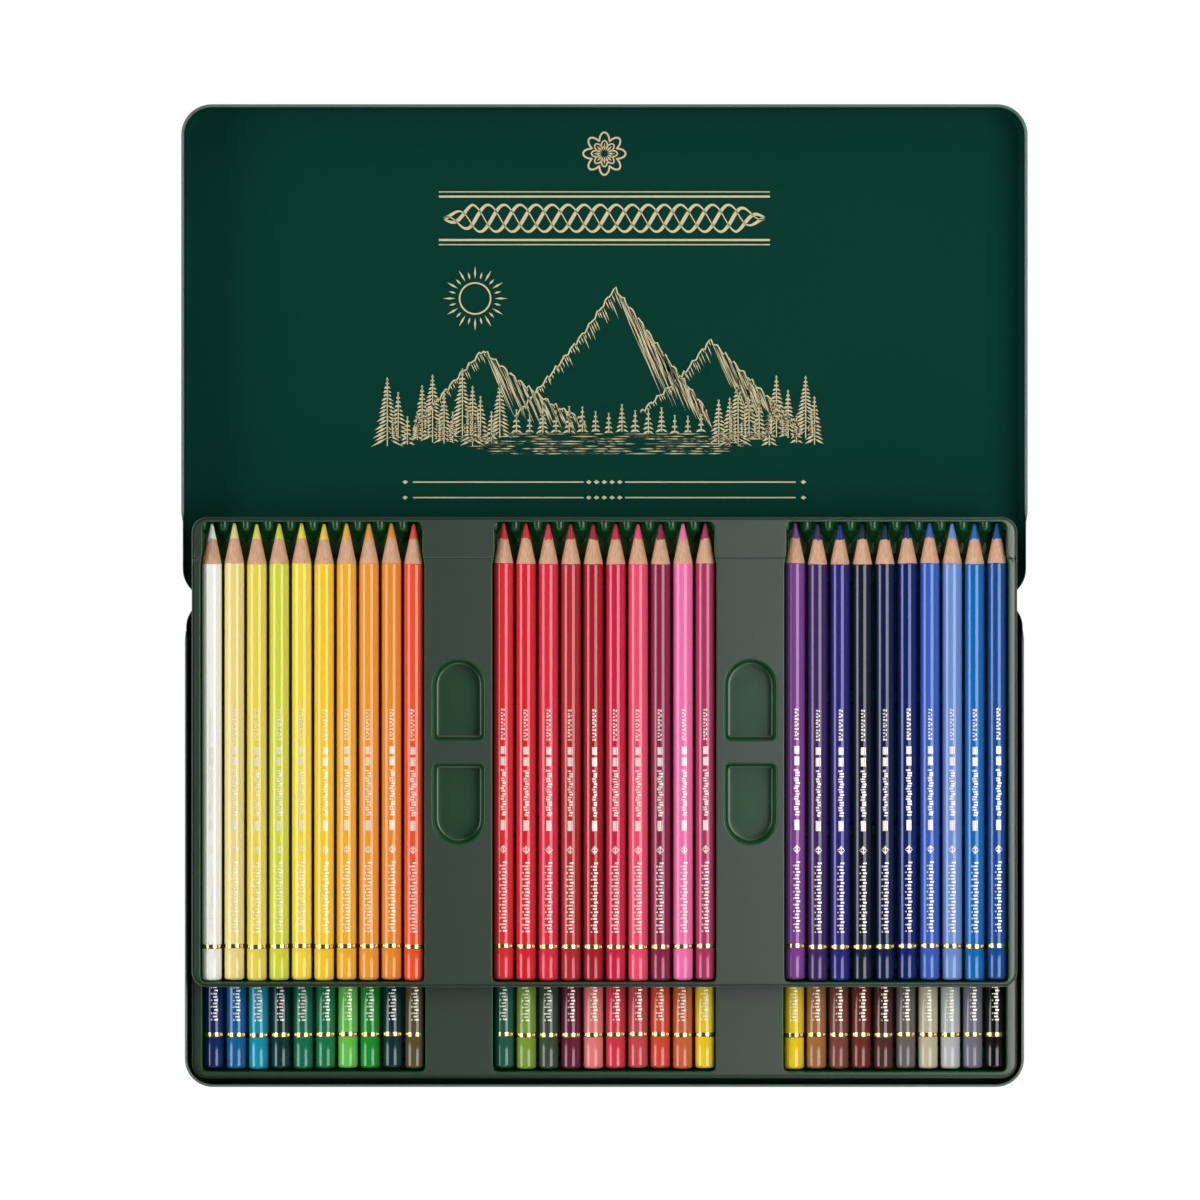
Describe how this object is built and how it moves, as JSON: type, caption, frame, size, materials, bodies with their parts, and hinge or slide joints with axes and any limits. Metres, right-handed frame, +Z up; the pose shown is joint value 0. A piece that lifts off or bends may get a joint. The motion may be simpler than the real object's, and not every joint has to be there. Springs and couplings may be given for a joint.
{
  "type": "colored pencil box",
  "caption": "Flat hinged tin with its lid opened flat, two stacked plastic trays of round colored pencils, the upper one slid back over the hinge.",
  "frame": {"origin": "middle of the underside of the tin base", "axes": "+X to the right, +Y from the base across the hinge to the open lid, +Z up"},
  "size_m": [0.3254, 0.3778, 0.0283],
  "materials": {
    "printed_tinplate": "gloss",
    "hinge_wire": "satin",
    "tray_plastic": "gloss",
    "lacquer_left_01": "gloss",
    "lacquer_left_02": "gloss",
    "lacquer_left_03": "gloss",
    "lacquer_left_04": "gloss",
    "lacquer_left_05": "gloss",
    "lacquer_left_06": "gloss",
    "lacquer_left_07": "gloss",
    "lacquer_left_08": "gloss",
    "lacquer_left_09": "gloss",
    "lacquer_left_10": "gloss",
    "lacquer_middle_01": "gloss",
    "lacquer_middle_02": "gloss",
    "lacquer_middle_03": "gloss",
    "lacquer_middle_04": "gloss",
    "lacquer_middle_05": "gloss",
    "lacquer_middle_06": "gloss",
    "lacquer_middle_07": "gloss",
    "lacquer_middle_08": "gloss",
    "lacquer_middle_09": "gloss",
    "lacquer_middle_10": "gloss",
    "lacquer_right_01": "gloss",
    "lacquer_right_02": "gloss",
    "lacquer_right_03": "gloss",
    "lacquer_right_04": "gloss",
    "lacquer_right_05": "gloss",
    "lacquer_right_06": "gloss",
    "lacquer_right_07": "gloss",
    "lacquer_right_08": "gloss",
    "lacquer_right_09": "gloss",
    "lacquer_right_10": "gloss",
    "lacquer_lower_left": "gloss",
    "lacquer_lower_middle": "gloss",
    "lacquer_lower_right": "gloss"
  },
  "bodies": {
    "base": {"tin_base": "printed_tinplate", "base_hinge_leaf_left": "printed_tinplate", "base_hinge_leaf_right": "printed_tinplate", "hinge_pin_left": "hinge_wire", "hinge_pin_right": "hinge_wire"},
    "lid": {"tin_lid": "printed_tinplate", "lid_hinge_leaf_left": "printed_tinplate", "lid_hinge_leaf_right": "printed_tinplate"},
    "lower_tray": {"lower_tray": "tray_plastic", "lower_left_pencils": "lacquer_lower_left", "lower_middle_pencils": "lacquer_lower_middle", "lower_right_pencils": "lacquer_lower_right"},
    "upper_tray": {"upper_tray": "tray_plastic"},
    "upper_tray_flap": {"upper_tray_flap": "tray_plastic"},
    "pencil_left_01": {"pencil_left_01": "lacquer_left_01"},
    "pencil_left_02": {"pencil_left_02": "lacquer_left_02"},
    "pencil_left_03": {"pencil_left_03": "lacquer_left_03"},
    "pencil_left_04": {"pencil_left_04": "lacquer_left_04"},
    "pencil_left_05": {"pencil_left_05": "lacquer_left_05"},
    "pencil_left_06": {"pencil_left_06": "lacquer_left_06"},
    "pencil_left_07": {"pencil_left_07": "lacquer_left_07"},
    "pencil_left_08": {"pencil_left_08": "lacquer_left_08"},
    "pencil_left_09": {"pencil_left_09": "lacquer_left_09"},
    "pencil_left_10": {"pencil_left_10": "lacquer_left_10"},
    "pencil_middle_01": {"pencil_middle_01": "lacquer_middle_01"},
    "pencil_middle_02": {"pencil_middle_02": "lacquer_middle_02"},
    "pencil_middle_03": {"pencil_middle_03": "lacquer_middle_03"},
    "pencil_middle_04": {"pencil_middle_04": "lacquer_middle_04"},
    "pencil_middle_05": {"pencil_middle_05": "lacquer_middle_05"},
    "pencil_middle_06": {"pencil_middle_06": "lacquer_middle_06"},
    "pencil_middle_07": {"pencil_middle_07": "lacquer_middle_07"},
    "pencil_middle_08": {"pencil_middle_08": "lacquer_middle_08"},
    "pencil_middle_09": {"pencil_middle_09": "lacquer_middle_09"},
    "pencil_middle_10": {"pencil_middle_10": "lacquer_middle_10"},
    "pencil_right_01": {"pencil_right_01": "lacquer_right_01"},
    "pencil_right_02": {"pencil_right_02": "lacquer_right_02"},
    "pencil_right_03": {"pencil_right_03": "lacquer_right_03"},
    "pencil_right_04": {"pencil_right_04": "lacquer_right_04"},
    "pencil_right_05": {"pencil_right_05": "lacquer_right_05"},
    "pencil_right_06": {"pencil_right_06": "lacquer_right_06"},
    "pencil_right_07": {"pencil_right_07": "lacquer_right_07"},
    "pencil_right_08": {"pencil_right_08": "lacquer_right_08"},
    "pencil_right_09": {"pencil_right_09": "lacquer_right_09"},
    "pencil_right_10": {"pencil_right_10": "lacquer_right_10"}
  },
  "joints": [
    {"name": "lid_hinge", "type": "hinge", "parent": "base", "child": "lid", "pos_m": [0, 0.09375, 0.015], "axis": [-1, 0, 0], "range_deg": [-180, 0]},
    {"name": "lower_tray_lift", "type": "slide", "parent": "base", "child": "lower_tray", "axis": [0, 0, 1], "range_m": [0, 0.04]},
    {"name": "upper_tray_slide", "type": "slide", "parent": "lower_tray", "child": "upper_tray", "axis": [0, 1, 0], "range_m": [-0.0352, 0]},
    {"name": "upper_tray_flap_fold", "type": "hinge", "parent": "upper_tray", "child": "upper_tray_flap", "pos_m": [0, 0.1093, 0.0283], "axis": [-1, 0, 0], "range_deg": [0, 5], "stiffness_Nm_per_rad": 0.3},
    {"name": "pencil_left_01_lift", "type": "slide", "parent": "upper_tray", "child": "pencil_left_01", "axis": [0, 0, 1], "range_m": [0, 0.03]},
    {"name": "pencil_left_02_lift", "type": "slide", "parent": "upper_tray", "child": "pencil_left_02", "axis": [0, 0, 1], "range_m": [0, 0.03]},
    {"name": "pencil_left_03_lift", "type": "slide", "parent": "upper_tray", "child": "pencil_left_03", "axis": [0, 0, 1], "range_m": [0, 0.03]},
    {"name": "pencil_left_04_lift", "type": "slide", "parent": "upper_tray", "child": "pencil_left_04", "axis": [0, 0, 1], "range_m": [0, 0.03]},
    {"name": "pencil_left_05_lift", "type": "slide", "parent": "upper_tray", "child": "pencil_left_05", "axis": [0, 0, 1], "range_m": [0, 0.03]},
    {"name": "pencil_left_06_lift", "type": "slide", "parent": "upper_tray", "child": "pencil_left_06", "axis": [0, 0, 1], "range_m": [0, 0.03]},
    {"name": "pencil_left_07_lift", "type": "slide", "parent": "upper_tray", "child": "pencil_left_07", "axis": [0, 0, 1], "range_m": [0, 0.03]},
    {"name": "pencil_left_08_lift", "type": "slide", "parent": "upper_tray", "child": "pencil_left_08", "axis": [0, 0, 1], "range_m": [0, 0.03]},
    {"name": "pencil_left_09_lift", "type": "slide", "parent": "upper_tray", "child": "pencil_left_09", "axis": [0, 0, 1], "range_m": [0, 0.03]},
    {"name": "pencil_left_10_lift", "type": "slide", "parent": "upper_tray", "child": "pencil_left_10", "axis": [0, 0, 1], "range_m": [0, 0.03]},
    {"name": "pencil_middle_01_lift", "type": "slide", "parent": "upper_tray", "child": "pencil_middle_01", "axis": [0, 0, 1], "range_m": [0, 0.03]},
    {"name": "pencil_middle_02_lift", "type": "slide", "parent": "upper_tray", "child": "pencil_middle_02", "axis": [0, 0, 1], "range_m": [0, 0.03]},
    {"name": "pencil_middle_03_lift", "type": "slide", "parent": "upper_tray", "child": "pencil_middle_03", "axis": [0, 0, 1], "range_m": [0, 0.03]},
    {"name": "pencil_middle_04_lift", "type": "slide", "parent": "upper_tray", "child": "pencil_middle_04", "axis": [0, 0, 1], "range_m": [0, 0.03]},
    {"name": "pencil_middle_05_lift", "type": "slide", "parent": "upper_tray", "child": "pencil_middle_05", "axis": [0, 0, 1], "range_m": [0, 0.03]},
    {"name": "pencil_middle_06_lift", "type": "slide", "parent": "upper_tray", "child": "pencil_middle_06", "axis": [0, 0, 1], "range_m": [0, 0.03]},
    {"name": "pencil_middle_07_lift", "type": "slide", "parent": "upper_tray", "child": "pencil_middle_07", "axis": [0, 0, 1], "range_m": [0, 0.03]},
    {"name": "pencil_middle_08_lift", "type": "slide", "parent": "upper_tray", "child": "pencil_middle_08", "axis": [0, 0, 1], "range_m": [0, 0.03]},
    {"name": "pencil_middle_09_lift", "type": "slide", "parent": "upper_tray", "child": "pencil_middle_09", "axis": [0, 0, 1], "range_m": [0, 0.03]},
    {"name": "pencil_middle_10_lift", "type": "slide", "parent": "upper_tray", "child": "pencil_middle_10", "axis": [0, 0, 1], "range_m": [0, 0.03]},
    {"name": "pencil_right_01_lift", "type": "slide", "parent": "upper_tray", "child": "pencil_right_01", "axis": [0, 0, 1], "range_m": [0, 0.03]},
    {"name": "pencil_right_02_lift", "type": "slide", "parent": "upper_tray", "child": "pencil_right_02", "axis": [0, 0, 1], "range_m": [0, 0.03]},
    {"name": "pencil_right_03_lift", "type": "slide", "parent": "upper_tray", "child": "pencil_right_03", "axis": [0, 0, 1], "range_m": [0, 0.03]},
    {"name": "pencil_right_04_lift", "type": "slide", "parent": "upper_tray", "child": "pencil_right_04", "axis": [0, 0, 1], "range_m": [0, 0.03]},
    {"name": "pencil_right_05_lift", "type": "slide", "parent": "upper_tray", "child": "pencil_right_05", "axis": [0, 0, 1], "range_m": [0, 0.03]},
    {"name": "pencil_right_06_lift", "type": "slide", "parent": "upper_tray", "child": "pencil_right_06", "axis": [0, 0, 1], "range_m": [0, 0.03]},
    {"name": "pencil_right_07_lift", "type": "slide", "parent": "upper_tray", "child": "pencil_right_07", "axis": [0, 0, 1], "range_m": [0, 0.03]},
    {"name": "pencil_right_08_lift", "type": "slide", "parent": "upper_tray", "child": "pencil_right_08", "axis": [0, 0, 1], "range_m": [0, 0.03]},
    {"name": "pencil_right_09_lift", "type": "slide", "parent": "upper_tray", "child": "pencil_right_09", "axis": [0, 0, 1], "range_m": [0, 0.03]},
    {"name": "pencil_right_10_lift", "type": "slide", "parent": "upper_tray", "child": "pencil_right_10", "axis": [0, 0, 1], "range_m": [0, 0.03]}
  ],
  "couplings": [
    {"joint": "upper_tray_slide", "follows": "lid_hinge", "m_per_rad": 0.011204}
  ]
}
